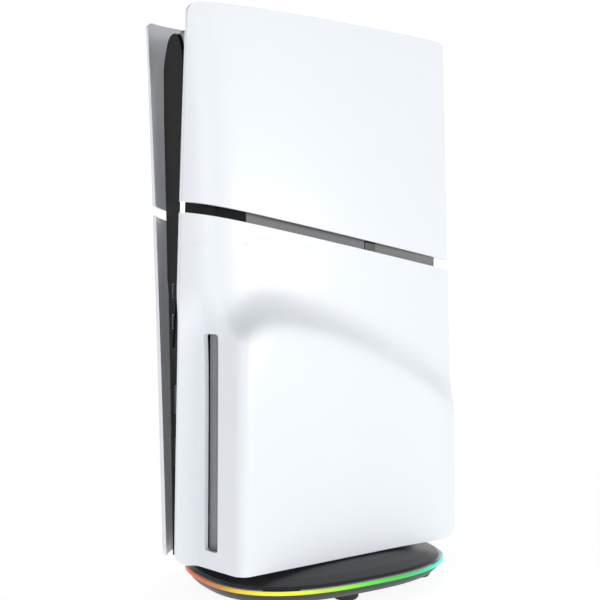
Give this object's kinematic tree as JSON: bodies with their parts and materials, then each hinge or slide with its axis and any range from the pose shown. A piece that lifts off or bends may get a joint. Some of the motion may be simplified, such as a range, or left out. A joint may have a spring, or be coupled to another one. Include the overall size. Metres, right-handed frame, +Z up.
{
  "type": "upright game console on lit stand",
  "caption": "Slim upright game console with white clip-on covers, black front blade and disc slot, standing on an oval stand with a lit rim.",
  "frame": {"origin": "on the desk, middle of the footprint", "axes": "+Z up, front of the console towards -Y, disc side towards +X"},
  "size_m": [0.1336, 0.2112, 0.381],
  "materials": {
    "cover_white": "satin white moulded plastic",
    "bezel_black": "gloss black plastic",
    "cap_grey": "gloss grey plastic that fades to white on the right",
    "frame_dark": "fine grained dark plastic",
    "grille_dark": "fine grained dark plastic",
    "guide_white": "clear light guide, lit white",
    "button_black": "gloss black plastic",
    "trim_grey": "mid grey plastic",
    "divider_black": "gloss black plastic",
    "socket_metal": "plain steel",
    "inlet_black": "black plastic",
    "board_green": "solder mask",
    "chip_black": "moulded chips",
    "chip_lid": "metal lid",
    "fins": "bare aluminium",
    "pipes": "copper",
    "steel_plate": "zinc plated sheet",
    "fan_black": "black glass filled plastic",
    "drive_plastic": "dark moulded plastic",
    "lip_grey": "grey felt and plastic lips",
    "rubber_black": "black rubber",
    "stand_satin": "dark satin plastic",
    "ring_glow": "diffuser, lit in running colours",
    "weight_iron": "bare iron"
  },
  "bodies": {
    "console": {"front_bezel": "bezel_black", "top_cap": "cap_grey", "front_frame": "frame_dark", "housing_left": "frame_dark", "housing_right": "frame_dark", "socket_panel": "frame_dark", "rear_grille": "grille_dark", "light_guides": "guide_white", "seam_trims": "trim_grey", "seam_dividers": "divider_black", "usb_c_ports": "socket_metal", "usb_a_ports": "socket_metal", "lan_port": "socket_metal", "hdmi_port": "socket_metal", "stand_usb_port": "socket_metal", "power_inlet": "inlet_black", "main_board": "board_green", "button_board": "board_green", "drive_board": "board_green", "stand_control_board": "board_green", "stand_light_board": "board_green", "storage_module": "board_green", "memory_chips": "chip_black", "antennas": "chip_black", "processor": "chip_lid", "heat_sink": "fins", "heat_pipes": "pipes", "shield_left": "steel_plate", "shield_right": "steel_plate", "power_supply": "steel_plate", "drive_lid": "steel_plate", "board_screws": "steel_plate", "coin_cell": "steel_plate", "storage_cover": "steel_plate", "sled_rails": "steel_plate", "sled_motor": "steel_plate", "feed_motor": "steel_plate", "spindle_base": "steel_plate", "fan_frame": "fan_black", "drive_case": "drive_plastic", "slot_lips": "lip_grey", "stand_feet": "rubber_black", "stand_top": "stand_satin", "stand_base": "stand_satin", "stand_saddle": "stand_satin", "stand_light_ring": "ring_glow", "stand_weight": "weight_iron"},
    "power_button": {"power_button": "button_black"},
    "eject_button": {"eject_button": "button_black"},
    "fan": {"fan_rotor": "fan_black"},
    "turntable": {"turntable": "drive_plastic"},
    "clamp": {"disc_clamp": "drive_plastic"},
    "screw": {"lead_screw": "steel_plate"},
    "sled": {"optical_sled": "drive_plastic"},
    "roller": {"feed_roller": "rubber_black"},
    "mode_button": {"stand_mode_button": "stand_satin"},
    "left_upper": {"cover_left_upper": "cover_white"},
    "left_lower": {"cover_left_lower": "cover_white"},
    "right_upper": {"cover_right_upper": "cover_white"},
    "right_lower": {"cover_right_lower": "cover_white"}
  },
  "joints": [
    {"name": "power_press", "type": "slide", "parent": "console", "child": "power_button", "axis": [0, 1, 0], "range_m": [0, 0.0008], "stiffness_N_per_m": 600},
    {"name": "eject_press", "type": "slide", "parent": "console", "child": "eject_button", "axis": [0, 1, 0], "range_m": [0, 0.0008], "stiffness_N_per_m": 600},
    {"name": "mode_press", "type": "slide", "parent": "console", "child": "mode_button", "axis": [0, -1, 0], "range_m": [0, 0.0008], "stiffness_N_per_m": 600},
    {"name": "fan_spin", "type": "hinge", "parent": "console", "child": "fan", "pos_m": [-0.013, -0.0171, 0.307], "axis": [1, 0, 0], "continuous": true},
    {"name": "disc_spin", "type": "hinge", "parent": "console", "child": "turntable", "pos_m": [-0.013, -0.0111, 0.104], "axis": [1, 0, 0], "continuous": true},
    {"name": "clamp_spin", "type": "hinge", "parent": "console", "child": "clamp", "pos_m": [-0.013, -0.0111, 0.104], "axis": [1, 0, 0], "continuous": true},
    {"name": "feed_spin", "type": "hinge", "parent": "console", "child": "roller", "pos_m": [0.0116, -0.0741, 0.103], "axis": [0, 0, 1], "continuous": true},
    {"name": "screw_turn", "type": "hinge", "parent": "console", "child": "screw", "pos_m": [0.0106, 0.0209, 0.131], "axis": [0, 1, 0], "range_deg": [0, 3841]},
    {"name": "sled_travel", "type": "slide", "parent": "console", "child": "sled", "axis": [0, 1, 0], "range_m": [0, 0.032]},
    {"name": "left_upper_off", "type": "slide", "parent": "console", "child": "left_upper", "axis": [-1, 0, 0], "range_m": [0, 0.09]},
    {"name": "left_lower_off", "type": "slide", "parent": "console", "child": "left_lower", "axis": [-1, 0, 0], "range_m": [0, 0.09]},
    {"name": "right_upper_off", "type": "slide", "parent": "console", "child": "right_upper", "axis": [1, 0, 0], "range_m": [0, 0.09]},
    {"name": "right_lower_off", "type": "slide", "parent": "console", "child": "right_lower", "axis": [1, 0, 0], "range_m": [0, 0.09]}
  ],
  "couplings": [
    {"joint": "screw_turn", "follows": "sled_travel", "rad_per_m": 2094.4},
    {"joint": "clamp_spin", "follows": "disc_spin", "ratio": 1}
  ]
}
